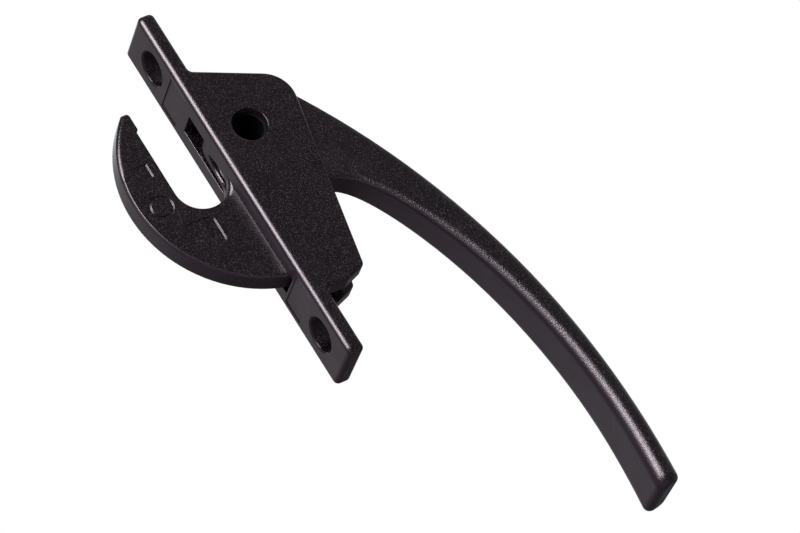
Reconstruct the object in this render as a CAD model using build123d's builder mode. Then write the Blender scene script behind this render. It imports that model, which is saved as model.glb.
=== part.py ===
from build123d import *
import os
from math import cos, radians, sin, sqrt

# Casement window locking handle: a cast housing with a slotted face plate, a cast lever
# with a hook at one end and a curved grip at the other, and the pin that joins them.
# Millimetres. The origin is on the front of the face plate, midway between the two screws.
# +X runs from the hook side through the plate to the grip side, +Y along the pin, and
# +Z up along the plate. The handle is shut, with its grip hanging down.

# Face plate
plate_length = 76.0
plate_width = 11.75
plate_thickness = 3.3
plate_corner = 1.0
edge_round = 0.6
screw_spacing = 60.3
screw_hole = 6.7
hole_chamfer = 0.3
field_length = 5.0
field_width = 9.0
field_depth = 0.15
field_offset = 22.4

# Cheeks on the back of the plate, as offsets from the pin
lever_gap = 5.0
pin_height = 4.5
pin_rise = 10.15
cheek_top = 14.25
cheek_peak = (12.2, 6.6)
cheek_heel = (4.3, -33.4)
cheek_foot = (0.0, -34.9)
cheek_bottom = -34.6
cheek_corner = 6.0
cheek_heel_round = 1.2
cheek_root_round = 1.2

# Pin
pin_diameter = 6.7
pin_fit = 0.05
pin_sink = 1.5
pin_bore = 5.9
pin_bore_floor = 2.0
pin_head = 9.2
pin_head_depth = 1.2

# Hook and hub of the lever, as offsets from the pin
side_clearance = 0.15
running_gap = 0.3
hub_radius = 7.3
stop_clearance = 0.2
blade_step = 0.3
ramp_start = 7.4
ramp_length = 1.9
rim_radius = 24.6
rim_shift = 1.6
rim_drop = 4.7
hook_tip = 1.58
throat_wall = 0.25
throat_depth = 5.25
hook_height = 12.7
nub_height = 3.6
nub_step = 0.5
tip_round = 0.6
blade_bevel = 0.4
heel_reach = 1.6
heel_width = 6.0
root_step = 0.12
root_shoulder = (13.4, 2.9)
root_outer = (17.0, -6.0)
root_inner = (12.0, -13.2)
root_arch = (7.0, -15.0)

# Marks of the casting die on the hook's near face, left bare, and the groove in its throat
mark_depth = 0.2
square_mark = 2.9
square_inset = 3.45
square_rise = 0.65
ring_mark = 4.5
ring_line = 0.3
ring_inset = 3.8
ring_rise = -6.75
pad_mark = 5.8
pad_corner = 1.0
pad_place = (-17.05, -14.8)
groove_top = 0.2
groove_bottom = -8.2
groove_width = 2.2
groove_depth = 1.2
groove_shift = 0.2

# Grip, as offsets from the pin
shoulder_flat = 11.4
shoulder_end = (13.25, 3.15)
grip_outer_bends = ((22.95, -15.5), (33.0, -48.1), (35.45, -69.9))
grip_outer_end = (34.65, -93.7)
arch_start = (7.2, -14.75)
arch_bends = ((12.2, -15.8), (16.7, -20.8), (25.45, -40.0), (30.15, -61.85))
grip_inner_end = (29.75, -94.55)
grip_tip_width = 11.7
grip_swell = 0.7
grip_swell_start = 0.03
grip_edge_root = 0.45
grip_edge_tip = 2.1
grip_edge_flats = 5
grip_tip_round = 1.3
grip_stations = 8

# Places that follow from the sizes above
half_width = plate_width / 2
half_gap = lever_gap / 2
half_web = half_gap - side_clearance
grip_root_width = 2 * half_web - root_step
pin_x = plate_thickness + pin_height
pin_z = pin_rise
pin_radius = pin_diameter / 2
pin_hole = pin_radius + pin_fit
pin_near_end = -half_width + pin_sink
pin_floor = half_width - pin_bore_floor
pin_seat = half_width - pin_head_depth
pin_plane = Plane(origin=(pin_x, 0, pin_z), x_dir=(1, 0, 0), z_dir=(0, -1, 0))
turned_plane = Plane(origin=(pin_x, 0, pin_z), x_dir=(1, 0, 0), z_dir=(0, 0, 1))
pin_axis = Axis((pin_x, 0, pin_z), (0, 1, 0))

# The rim of the hook is one arc about a point below the pin, on the hook side. The slot
# leaves room for the rim's greatest reach, and for the hub at its top.
rim_reach = rim_radius + sqrt(rim_shift**2 + rim_drop**2)
slot_bottom = -sqrt((rim_reach + running_gap) ** 2 - pin_height**2)
slot_top = sqrt((hub_radius + running_gap) ** 2 - pin_height**2) + 4 * running_gap
stop_face = pin_height - stop_clearance
heel_face = -pin_height + running_gap / 2

# Housing: plate and cheeks as one outline from the side, then the gap, slot and holes.
with BuildPart() as housing:
    with BuildSketch(pin_plane.offset(-half_width)) as side_view:
        with BuildLine():
            Polyline(
                (-pin_x, -plate_length / 2 - pin_z),
                (-pin_height, -plate_length / 2 - pin_z),
                (-pin_height, cheek_bottom),
                cheek_foot,
                cheek_heel,
                cheek_peak,
                (-pin_height, cheek_top),
                (-pin_height, plate_length / 2 - pin_z),
                (-pin_x, plate_length / 2 - pin_z),
                close=True,
            )
        make_face()
        peak = side_view.vertices().sort_by(Axis.X)[-1]
        fillet(peak, cheek_corner)
        back = side_view.vertices().filter_by(lambda v: v.X > cheek_foot[0] + 0.01)
        fillet(back.sort_by(Axis.Y)[0], cheek_heel_round)
        inner = side_view.vertices().filter_by(lambda v: abs(v.Y + pin_z) < screw_spacing / 2)
        roots = inner.filter_by(lambda v: abs(v.X + pin_height) < 0.01)
        fillet(roots, cheek_root_round)
        ends = side_view.vertices().filter_by(lambda v: abs(v.Y + pin_z) > screw_spacing / 2)
        fillet(ends, plate_corner)
    extrude(amount=plate_width)
    sides = housing.faces().filter_by(Axis.Y)
    fillet(sides.edges(), edge_round)
    # gap between the cheeks, open at the top, the back and the bottom
    with BuildSketch(Plane.XY.offset(pin_z + cheek_bottom - plate_length)) as gap:
        with Locations((plate_thickness, 0)):
            Rectangle(plate_length, lever_gap, align=(Align.MIN, Align.CENTER))
    extrude(amount=2 * plate_length, mode=Mode.SUBTRACT)
    # slot through the plate
    with BuildSketch(Plane.YZ) as slot:
        with Locations((0, pin_z + (slot_top + slot_bottom) / 2)):
            Rectangle(lever_gap, slot_top - slot_bottom)
    extrude(amount=plate_thickness, mode=Mode.SUBTRACT)
    # screw holes
    with BuildSketch(Plane.YZ) as screws:
        with GridLocations(screw_spacing, screw_spacing, 1, 2):
            Circle(screw_hole / 2)
    extrude(amount=plate_thickness, mode=Mode.SUBTRACT)
    rims = housing.edges().filter_by(GeomType.CIRCLE).filter_by(lambda e: e.center().X < 0.01)
    chamfer(rims, hole_chamfer)
    # a bare, shallow field on the front of the plate between each screw and the slot
    with BuildSketch(Plane.YZ) as fields:
        with GridLocations(1, 2 * field_offset, 1, 2):
            Rectangle(field_width, field_length)
    extrude(amount=field_depth, mode=Mode.SUBTRACT)
    # pin hole through both cheeks, with a countersink for the head in the far one
    with BuildSketch(pin_plane.offset(-half_width)) as bore:
        Circle(pin_hole)
    extrude(amount=plate_width, mode=Mode.SUBTRACT)
    with BuildSketch(turned_plane) as countersink:
        Polygon((0, pin_seat), (pin_radius, pin_seat), (pin_head / 2, half_width),
                (0, half_width), align=None)
    revolve(axis=pin_axis, mode=Mode.SUBTRACT)

housing.part.label = "housing"

# Lever: hook, hub and grip root as one flat web, then the grip as a loft.
hub_end = (sqrt(hub_radius**2 - stop_face**2), stop_face)
heel_back = (heel_face + heel_width, slot_bottom - heel_reach)
heel_toe = (heel_face, slot_bottom - heel_reach)
rim_start = (heel_face, -rim_drop - sqrt(rim_radius**2 - (heel_face + rim_shift) ** 2))
rim_end = (-rim_shift - sqrt(rim_radius**2 - (hook_height + rim_drop) ** 2), hook_height)
nub_face = rim_end[0] + hook_tip
throat_left = nub_face - nub_step
throat_right = -hub_radius - throat_wall
throat_radius = (throat_right - throat_left) / 2
throat_middle = (throat_right + throat_left) / 2
nub_foot = hook_height - nub_height
ramp_top = pin_x - ramp_start
ramp_foot = ramp_top - ramp_length
far_left = pin_x - 2 * rim_radius
blade_face = blade_step - half_web
groove_start = pin_z + groove_bottom
groove_end = pin_z + groove_top
groove_middle = (groove_start + groove_end) / 2

with BuildPart() as grip:
    with BuildLine(pin_plane) as outer_line:
        Spline(shoulder_end, *grip_outer_bends, grip_outer_end)
    with BuildLine(pin_plane) as inner_line:
        Spline(arch_start, *arch_bends, grip_inner_end)
    for station in range(grip_stations):
        share = station / (grip_stations - 1)
        outer = outer_line.line @ share
        inner = inner_line.line @ (share**1.2)
        across = outer - inner
        swell = max(0, share - grip_swell_start) / (1 - grip_swell_start)
        wide = grip_root_width + (grip_tip_width - grip_root_width) * swell**grip_swell
        corner = grip_edge_root + (grip_edge_tip - grip_edge_root) * share
        station_plane = Plane(
            origin=(outer + inner) / 2,
            x_dir=across,
            z_dir=across.cross(Vector(0, 1, 0)),
        )
        # each rounded corner is a run of short flats, which keeps the faces few
        half_deep = across.length / 2 - corner
        half_wide = wide / 2 - corner
        section = []
        for turn, (along, over) in enumerate(((1, 1), (-1, 1), (-1, -1), (1, -1))):
            for flat in range(grip_edge_flats + 1):
                angle = radians(90 * (turn + flat / grip_edge_flats))
                section.append((along * half_deep + corner * cos(angle),
                                over * half_wide + corner * sin(angle)))
        with BuildSketch(station_plane):
            Polygon(*section, align=None)
    loft()
    tip = grip.faces().sort_by(Axis.Z)[0]
    fillet(tip.edges(), grip_tip_round)

with BuildPart() as lever:
    with BuildSketch(pin_plane.offset(-half_web)) as web:
        with BuildLine():
            ThreePointArc((-hub_radius, 0), (0, hub_radius), hub_end)
            Line(hub_end, (shoulder_flat, stop_face))
            TangentArc((shoulder_flat, stop_face), root_shoulder, tangent=(1, 0))
            Polyline(root_shoulder, root_outer, root_inner, root_arch, heel_back, heel_toe,
                     rim_start)
            ThreePointArc(rim_start, (-rim_shift - rim_radius, -rim_drop), rim_end)
            Polyline(rim_end, (nub_face, hook_height), (nub_face, nub_foot),
                     (throat_left, nub_foot - nub_step), (throat_left, -throat_depth))
            ThreePointArc((throat_left, -throat_depth),
                          (throat_middle, -throat_depth - throat_radius),
                          (throat_right, -throat_depth))
            Line((throat_right, -throat_depth), (-hub_radius, 0))
        make_face()
        hook_corners = web.vertices().filter_by(lambda v: v.Y > nub_foot - 0.01 and v.X < nub_face + 0.01)
        heel_corners = web.vertices().sort_by(Axis.Y)[:2]
        fillet(hook_corners + heel_corners, tip_round)
    extrude(amount=2 * half_web)
    # the hook's near side steps in, with a smooth ramp from the thicker web to the blade
    with BuildSketch(Plane.XY.offset(pin_z + slot_bottom - heel_reach)) as blade_sides:
        with BuildLine():
            Line((far_left, blade_face), (ramp_foot, blade_face))
            Spline((ramp_foot, blade_face), (ramp_top, -half_web), tangents=((1, 0), (1, 0)))
            Polyline((ramp_top, -half_web), (ramp_top, -lever_gap), (far_left, -lever_gap),
                     (far_left, blade_face))
        make_face()
    extrude(amount=3 * rim_radius, mode=Mode.SUBTRACT)
    walls = lever.faces().filter_by(lambda f: abs(f.normal_at().Y) < 0.1)
    outline = walls.edges().filter_by(lambda e: abs(e.center().Y) > half_web / 2)
    chamfer(outline, blade_bevel)
    add(grip.part)
    # bare marks of the casting die on the near face
    with BuildSketch(pin_plane.offset(-blade_face)) as marks:
        with Locations((throat_left - square_inset, square_rise)):
            Rectangle(square_mark, square_mark)
        with Locations((throat_left - ring_inset, ring_rise)):
            Circle(ring_mark / 2)
            Circle(ring_mark / 2 - ring_line, mode=Mode.SUBTRACT)
        with Locations(pad_place):
            RectangleRounded(pad_mark, pad_mark, pad_corner)
    extrude(amount=-mark_depth, mode=Mode.SUBTRACT)
    # lens-shaped groove in the wall of the throat, cut from the middle of the throat
    with BuildSketch(Plane.YZ.offset(pin_x + throat_middle)) as groove:
        with BuildLine():
            ThreePointArc((groove_shift, groove_end), (groove_shift + groove_width / 2, groove_middle),
                          (groove_shift, groove_start))
            ThreePointArc((groove_shift, groove_start), (groove_shift - groove_width / 2, groove_middle),
                          (groove_shift, groove_end))
        make_face()
    extrude(amount=throat_radius + groove_depth, mode=Mode.SUBTRACT)
    with BuildSketch(pin_plane.offset(-half_web)) as pin_bore_view:
        Circle(pin_hole)
    extrude(amount=2 * half_web, mode=Mode.SUBTRACT)

lever.part.label = "lever"

with BuildPart() as pivot_pin:
    with BuildSketch(turned_plane) as pin_profile:
        Polygon(
            (0, pin_floor),
            (pin_bore / 2, pin_floor),
            (pin_bore / 2, pin_near_end),
            (pin_radius, pin_near_end),
            (pin_radius, pin_seat),
            (pin_head / 2, half_width),
            (0, half_width),
            align=None,
        )
    revolve(axis=pin_axis)

pivot_pin.part.label = "pivot_pin"

os.makedirs("parts", exist_ok=True)
export_step(housing.part, "parts/housing.step")
export_step(lever.part, "parts/lever.step")
export_step(pivot_pin.part, "parts/pivot_pin.step")
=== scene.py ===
import bpy
from mathutils import Matrix, Vector

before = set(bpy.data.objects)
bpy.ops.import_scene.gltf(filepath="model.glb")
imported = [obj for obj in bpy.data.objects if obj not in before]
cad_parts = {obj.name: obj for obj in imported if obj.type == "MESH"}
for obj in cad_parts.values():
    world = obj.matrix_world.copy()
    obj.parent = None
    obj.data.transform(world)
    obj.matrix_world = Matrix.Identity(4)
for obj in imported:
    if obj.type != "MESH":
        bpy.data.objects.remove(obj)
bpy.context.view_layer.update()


# Housing
# The real piece is one pressure die casting: a slotted face plate with two cheeks on its back
# that carry the pin. It is powder coated black, with a fine grain that sparkles in the light.
def linear(colour):
    """An sRGB hex colour as the linear RGBA that the shaders take."""
    channels = [int(colour[i:i + 2], 16) / 255 for i in (1, 3, 5)]
    return [c / 12.92 if c <= 0.04045 else ((c + 0.055) / 1.055) ** 2.4 for c in channels] + [1]


def add_node(tree, kind, settings=None, values=None, links=None):
    """Adds a node with its settings, its socket values, and links from other nodes' outputs."""
    node = tree.nodes.new(kind)
    for name, value in (settings or {}).items():
        setattr(node, name, value)
    for name, value in (values or {}).items():
        node.inputs[name].default_value = value
    for name, (source, output) in (links or {}).items():
        tree.links.new(source.outputs[output], node.inputs[name])
    return node


def powder_coat(name, round_near, round_far, crisp_within_mm):
    """Black polyester powder coat, sprayed and baked: melted grains leave a dense orange peel that
    breaks each highlight into small sparks, and pale flecks painted into the colour show between
    them as painted sparkle. Faces turned front and down get a painted purple reflection, and faces
    turned straight down less of it, as painted shade. The coat rounds the edges: round_near and
    round_far each pair a distance from the plate's front, towards the grip, with how wide the
    rounding is there, in millimetres. Edges nearer to the middle plane than crisp_within_mm stay
    crisp."""
    material = bpy.data.materials.new(name)
    material.use_nodes = True
    tree = material.node_tree
    tree.nodes.clear()
    place = add_node(tree, "ShaderNodeTexCoord")
    # the peel of the coat, one bump for each melted grain of powder: real grains of about 0.05 mm
    # are too fine to show, so they are drawn as coarse as the render needs
    grain_mm = 0.28
    grain = add_node(
        tree, "ShaderNodeTexNoise",
        values={"Scale": 1000 / grain_mm, "Detail": 2.0, "Roughness": 0.6},
        links={"Vector": (place, "Object")},
    )
    # slow waves of the cast surface under the coat
    cast_wave_mm = 5.0
    wave = add_node(
        tree, "ShaderNodeTexNoise",
        values={"Scale": 1000 / cast_wave_mm, "Detail": 3.0, "Roughness": 0.5},
        links={"Vector": (place, "Object")},
    )
    # flecks are the peaks of a second grain, which is drawn coarser than the real one too; they
    # are painted sparkle, pale specks in the colour that stand in for the glints of the grain
    fleck_mm = 0.22
    fleck_starts = 0.54
    fleck_is_full = 0.78
    fleck = add_node(
        tree, "ShaderNodeTexNoise",
        values={"Scale": 1000 / fleck_mm, "Detail": 1.0, "Roughness": 0.5},
        links={"Vector": (place, "Object")},
    )
    painted_sparkle_peak = add_node(
        tree, "ShaderNodeMapRange",
        values={"From Min": fleck_starts, "From Max": fleck_is_full, "To Min": 0.0, "To Max": 1.0},
        links={"Value": (fleck, "Fac")},
    )
    black_pigment = linear("#040204")
    # painted sparkle: the pale colour of the flecks
    painted_sparkle_fleck = linear("#443a42")
    tint = add_node(
        tree, "ShaderNodeMix",
        settings={"data_type": "RGBA"},
        values={6: black_pigment, 7: painted_sparkle_fleck},
        links={0: (painted_sparkle_peak, "Result")},
    )
    # faces turned to the front and down are duller, and their colour gets a lighter purple:
    # painted reflection, standing in for the sheen these faces catch
    facing = add_node(tree, "ShaderNodeSeparateXYZ", links={"Vector": (place, "Normal")})
    front_and_down = (-0.75, 0, -0.66)
    dull_and_reflection_starts = 0.25
    dull_and_reflection_is_full = 0.65
    front_and_down_facing = add_node(
        tree, "ShaderNodeVectorMath", settings={"operation": "DOT_PRODUCT"},
        values={1: front_and_down}, links={0: (place, "Normal")},
    )
    # painted reflection mask, which also makes these faces duller
    dull_and_painted_reflection = add_node(
        tree, "ShaderNodeMapRange",
        values={"From Min": dull_and_reflection_starts, "From Max": dull_and_reflection_is_full, "To Min": 0.0, "To Max": 1.0},
        links={"Value": (front_and_down_facing, "Value")},
    )
    # faces turned straight down are the dullest, and get less of the painted reflection, so
    # painted shade makes them the darkest
    under_starts = -0.4
    under_is_full = -0.85
    under = add_node(
        tree, "ShaderNodeMapRange",
        values={"From Min": under_starts, "From Max": under_is_full, "To Min": 0.0, "To Max": 1.0},
        links={"Value": (facing, "Z")},
    )
    # painted shade: faces turned straight down lose this share of the painted reflection
    painted_shade_loss = 0.6
    painted_shade_share = add_node(
        tree, "ShaderNodeMath", settings={"operation": "MULTIPLY_ADD"},
        values={1: -painted_shade_loss, 2: 1.0}, links={0: (under, "Result")},
    )
    # the share of painted reflection in the colour, cut by the painted shade under
    painted_reflection_share = add_node(
        tree, "ShaderNodeMath", settings={"operation": "MULTIPLY"},
        links={0: (dull_and_painted_reflection, "Result"), 1: (painted_shade_share, "Value")},
    )
    # painted reflection: the lighter purple mixed into faces turned front and down
    painted_reflection_purple = linear("#1e121e")
    colour = add_node(
        tree, "ShaderNodeMix",
        settings={"data_type": "RGBA"},
        values={7: painted_reflection_purple},
        links={0: (painted_reflection_share, "Value"), 6: (tint, 2)},
    )
    # the baked coat is glossy, a little more or less so along the waves, and duller on the faces
    # turned front and down
    baked_roughness = 0.2
    wave_roughness = 0.03
    dry_roughness = 0.2
    under_roughness = 0.35
    wave_trough = 0.35
    wave_crest = 0.65
    sheen = add_node(
        tree, "ShaderNodeMapRange",
        values={"From Min": wave_trough, "From Max": wave_crest,
                "To Min": baked_roughness - wave_roughness,
                "To Max": baked_roughness + wave_roughness},
        links={"Value": (wave, "Fac")},
    )
    front_dull = add_node(
        tree, "ShaderNodeMath", settings={"operation": "MULTIPLY_ADD"}, values={1: dry_roughness},
        links={0: (dull_and_painted_reflection, "Result"), 2: (sheen, "Result")},
    )
    dull = add_node(
        tree, "ShaderNodeMath", settings={"operation": "MULTIPLY_ADD"}, values={1: under_roughness},
        links={0: (under, "Result"), 2: (front_dull, "Value")},
    )
    # where a point lies: X from the plate's front towards the grip, Y from the middle plane
    reach = add_node(tree, "ShaderNodeSeparateXYZ", links={"Vector": (place, "Object")})
    # flat sides swell a little towards their edges, and the faces between them stay flat
    face_share = 0.25
    side_starts = 0.2
    side_is_full = 0.8
    crisp_share = 0.1
    crisp_fade_mm = 0.5
    round_by_reach = add_node(
        tree, "ShaderNodeMapRange",
        values={"From Min": round_near[0] / 1000, "From Max": round_far[0] / 1000,
                "To Min": round_near[1] / 1000, "To Max": round_far[1] / 1000},
        links={"Value": (reach, "X")},
    )
    side = add_node(
        tree, "ShaderNodeMath", settings={"operation": "ABSOLUTE"}, links={0: (facing, "Y")},
    )
    side_share = add_node(
        tree, "ShaderNodeMapRange",
        values={"From Min": side_starts, "From Max": side_is_full,
                "To Min": face_share, "To Max": 1.0},
        links={"Value": (side, "Value")},
    )
    off_middle = add_node(
        tree, "ShaderNodeMath", settings={"operation": "ABSOLUTE"}, links={0: (reach, "Y")},
    )
    outer_share = add_node(
        tree, "ShaderNodeMapRange",
        values={"From Min": (crisp_within_mm - crisp_fade_mm) / 1000,
                "From Max": crisp_within_mm / 1000, "To Min": crisp_share, "To Max": 1.0},
        links={"Value": (off_middle, "Value")},
    )
    outer_round = add_node(
        tree, "ShaderNodeMath", settings={"operation": "MULTIPLY"},
        links={0: (round_by_reach, "Result"), 1: (outer_share, "Result")},
    )
    # the marks sunk in the hook's face have crisp edges, and its rim and its root are rounded
    rim_middle_mm = (-1.6, 0, -4.7)
    marks_end_mm = 22.2
    rim_starts_mm = 22.8
    marks_reach_mm = -5.5
    root_starts_mm = -4.5
    mark_edge_share = 0.3
    rim_distance = add_node(
        tree, "ShaderNodeVectorMath", settings={"operation": "DISTANCE"},
        values={1: [along / 1000 for along in rim_middle_mm]}, links={0: (place, "Object")},
    )
    rim_share = add_node(
        tree, "ShaderNodeMapRange",
        values={"From Min": marks_end_mm / 1000, "From Max": rim_starts_mm / 1000,
                "To Min": mark_edge_share, "To Max": 1.0},
        links={"Value": (rim_distance, "Value")},
    )
    root_share = add_node(
        tree, "ShaderNodeMapRange",
        values={"From Min": marks_reach_mm / 1000, "From Max": root_starts_mm / 1000,
                "To Min": mark_edge_share, "To Max": 1.0},
        links={"Value": (reach, "X")},
    )
    mark_share = add_node(
        tree, "ShaderNodeMath", settings={"operation": "MAXIMUM"},
        links={0: (rim_share, "Result"), 1: (root_share, "Result")},
    )
    marked_round = add_node(
        tree, "ShaderNodeMath", settings={"operation": "MULTIPLY"},
        links={0: (outer_round, "Value"), 1: (mark_share, "Value")},
    )
    round_width = add_node(
        tree, "ShaderNodeMath", settings={"operation": "MULTIPLY"},
        links={0: (marked_round, "Value"), 1: (side_share, "Result")},
    )
    edge = add_node(
        tree, "ShaderNodeBevel", settings={"samples": 16},
        links={"Radius": (round_width, "Value")},
    )
    wave_height_mm = 0.05
    wave_strength = 0.3
    wave_bump = add_node(
        tree, "ShaderNodeBump",
        values={"Strength": wave_strength, "Distance": wave_height_mm / 1000},
        links={"Height": (wave, "Fac"), "Normal": (edge, "Normal")},
    )
    # the plate is rubbed smooth, and the grain is deepest on the cheeks and the grip
    smooth_until_mm = 3.5
    deepest_from_mm = 14
    shallow_grain_mm = 0.01
    deep_grain_mm = 0.04
    grain_depth = add_node(
        tree, "ShaderNodeMapRange",
        values={"From Min": smooth_until_mm / 1000, "From Max": deepest_from_mm / 1000,
                "To Min": shallow_grain_mm / 1000, "To Max": deep_grain_mm / 1000},
        links={"Value": (reach, "X")},
    )
    grain_bump = add_node(
        tree, "ShaderNodeBump",
        links={"Distance": (grain_depth, "Result"), "Height": (grain, "Fac"),
               "Normal": (wave_bump, "Normal")},
    )
    # polyester resin, whose gloss the melted grains scatter
    coat_ior = 1.5
    coat_gloss = 0.11
    coat_gloss_tint = linear("#fff0fa")
    coat = add_node(
        tree, "ShaderNodeBsdfPrincipled",
        values={"IOR": coat_ior, "Specular IOR Level": coat_gloss, "Specular Tint": coat_gloss_tint},
        links={"Base Color": (colour, 2), "Roughness": (dull, "Value"),
               "Normal": (grain_bump, "Normal")},
    )
    add_node(tree, "ShaderNodeOutputMaterial", links={"Surface": (coat, "BSDF")})
    return material


# the plate's long edges are rubbed round, while its slot and the cheeks behind it stay crisp
plate_edge = (3.5, 1.7)
cheek_edge = (6, 0.2)
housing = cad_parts["housing"]
housing.data.materials.clear()
housing.data.materials.append(
    powder_coat("powder_coat_housing", plate_edge, cheek_edge, crisp_within_mm=4.6)
)


# Lever
# The real piece is a second casting, hook, hub and grip in one, with the same powder coat. It
# turns on the pin between the cheeks. The grip's sides swell more and more towards its tip.
hub_edge = (12, 1.0)
grip_edge = (34, 2.9)
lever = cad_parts["lever"]
lever.data.materials.clear()
lever.data.materials.append(
    powder_coat("powder_coat_lever", hub_edge, grip_edge, crisp_within_mm=0)
)


# Pivot pin
# The real piece is a steel rivet, headed at its far end and blackened, with a dull oxide. Its
# near end is bored out and sits below the face of the cheek, so it reads as a dark hole.
pivot_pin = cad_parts["pivot_pin"]
pivot_pin.data.materials.clear()
blackened_steel = bpy.data.materials.new("blackened_rivet_steel")
blackened_steel.use_nodes = True
rivet = blackened_steel.node_tree
rivet.nodes.clear()
rivet_place = add_node(rivet, "ShaderNodeTexCoord")
# real turning marks of about 0.1 mm are too fine to show, so they are drawn coarser
turning_mark_mm = 0.3
mark_height_mm = 0.02
mark_strength = 0.4
mark_valley = 0.3
mark_ridge = 0.7
turning_marks = add_node(
    rivet, "ShaderNodeTexNoise",
    values={"Scale": 1000 / turning_mark_mm, "Detail": 1.0},
    links={"Vector": (rivet_place, "Object")},
)
smooth_oxide = 0.5
rough_oxide = 0.7
oxide_roughness = add_node(
    rivet, "ShaderNodeMapRange",
    values={"From Min": mark_valley, "From Max": mark_ridge,
            "To Min": smooth_oxide, "To Max": rough_oxide},
    links={"Value": (turning_marks, "Fac")},
)
oxide_grain = add_node(
    rivet, "ShaderNodeBump",
    values={"Strength": mark_strength, "Distance": mark_height_mm / 1000},
    links={"Height": (turning_marks, "Fac")},
)
oxide_black = linear("#060506")
oxide_gloss = 0.03
oxide = add_node(
    rivet, "ShaderNodeBsdfPrincipled",
    values={"Base Color": oxide_black, "Specular IOR Level": oxide_gloss},
    links={"Roughness": (oxide_roughness, "Result"), "Normal": (oxide_grain, "Normal")},
)
add_node(rivet, "ShaderNodeOutputMaterial", links={"Surface": (oxide, "BSDF")})
pivot_pin.data.materials.append(blackened_steel)


# Floor
# A pale matt board, painted white and level, 0.42 m below the handle and too wide for its edges
# to show. It isn't part of the handle.
floor_depth = -0.42
floor_half = 12.0
floor_mesh = bpy.data.meshes.new("floor")
floor_mesh.from_pydata(
    [(-floor_half, -floor_half, floor_depth), (floor_half, -floor_half, floor_depth),
     (floor_half, floor_half, floor_depth), (-floor_half, floor_half, floor_depth)],
    [], [(0, 1, 2, 3)],
)
floor = bpy.data.objects.new("floor", floor_mesh)
bpy.context.scene.collection.objects.link(floor)
board = bpy.data.materials.new("pale_matt_board")
board.use_nodes = True
board.node_tree.nodes.clear()
board_paint = add_node(
    board.node_tree, "ShaderNodeBsdfPrincipled",
    values={"Base Color": linear("#e6e6e6"), "Roughness": 0.8},
)
add_node(board.node_tree, "ShaderNodeOutputMaterial", links={"Surface": (board_paint, "BSDF")})
floor.data.materials.append(board)


# Light
# A soft studio: one softbox above the camera lights the colours at a plain level, a wide
# panel above it shows only in the gloss, and the camera and the gloss see a white surround.
handle_middle = Vector((0.012, 0, -0.03))


def softbox(name, direction, width, height, watts, in_gloss_only):
    """A soft lamp a metre from the handle in this direction, turned towards it."""
    lamp = bpy.data.lights.new(name, "AREA")
    lamp.shape = "RECTANGLE"
    lamp.size = width
    lamp.size_y = height
    lamp.energy = watts
    stand = bpy.data.objects.new(name, lamp)
    towards = Vector(direction).normalized()
    stand.location = handle_middle + towards
    stand.rotation_euler = towards.to_track_quat("Z", "Y").to_euler()
    stand.visible_diffuse = not in_gloss_only
    bpy.context.scene.collection.objects.link(stand)


softbox(
    "key_softbox", direction=(-0.42, -0.82, 0.36),
    width=0.3, height=0.3, watts=5, in_gloss_only=False,
)
softbox(
    "gloss_panel", direction=(-0.39, -0.82, 0.52),
    width=0.7, height=0.55, watts=100, in_gloss_only=True,
)

world = bpy.data.worlds.new("studio")
bpy.context.scene.world = world
world.use_nodes = True
surround = world.node_tree
surround.nodes.clear()
ray = add_node(surround, "ShaderNodeLightPath")
seen = add_node(
    surround, "ShaderNodeMath", settings={"operation": "MAXIMUM"},
    links={0: (ray, "Is Camera Ray"), 1: (ray, "Is Glossy Ray")},
)
seen_through = add_node(
    surround, "ShaderNodeMath", settings={"operation": "MAXIMUM"},
    links={0: (seen, "Value"), 1: (ray, "Is Transmission Ray")},
)
# strength 1 is plain white, and the fill that lights the colours is lower
white_light = (1, 1, 1, 1)
fill_strength = 0.65
white_strength = 1.0
soft_fill = add_node(
    surround, "ShaderNodeBackground", values={"Color": white_light, "Strength": fill_strength},
)
white = add_node(
    surround, "ShaderNodeBackground", values={"Color": white_light, "Strength": white_strength},
)
mixed = add_node(
    surround, "ShaderNodeMixShader",
    links={0: (seen_through, "Value"), 1: (soft_fill, "Background"), 2: (white, "Background")},
)
add_node(surround, "ShaderNodeOutputWorld", links={"Surface": (mixed, "Shader")})

bpy.context.scene.view_settings.view_transform = "Standard"


# Camera
# It stands far off and low on the hook side, facing the near cheek, and looks up at the handle
# through a long lens.
camera_data = bpy.data.cameras.new("camera")
camera_data.sensor_width = 36
camera_data.lens = 188.47
camera_data.clip_start = 0.01
camera_data.clip_end = 20
camera_place = (-0.3075, -0.63047, -0.2678)
camera = bpy.data.objects.new("camera", camera_data)
right = Vector((0.8268, -0.2325, -0.5124))
up = Vector((0.3547, -0.4920, 0.7952))
back = right.cross(up).normalized()
up = back.cross(right).normalized()
right.normalize()
turned = Matrix((right, up, back)).transposed().to_4x4()
camera.matrix_world = Matrix.Translation(camera_place) @ turned
bpy.context.scene.collection.objects.link(camera)
bpy.context.scene.camera = camera
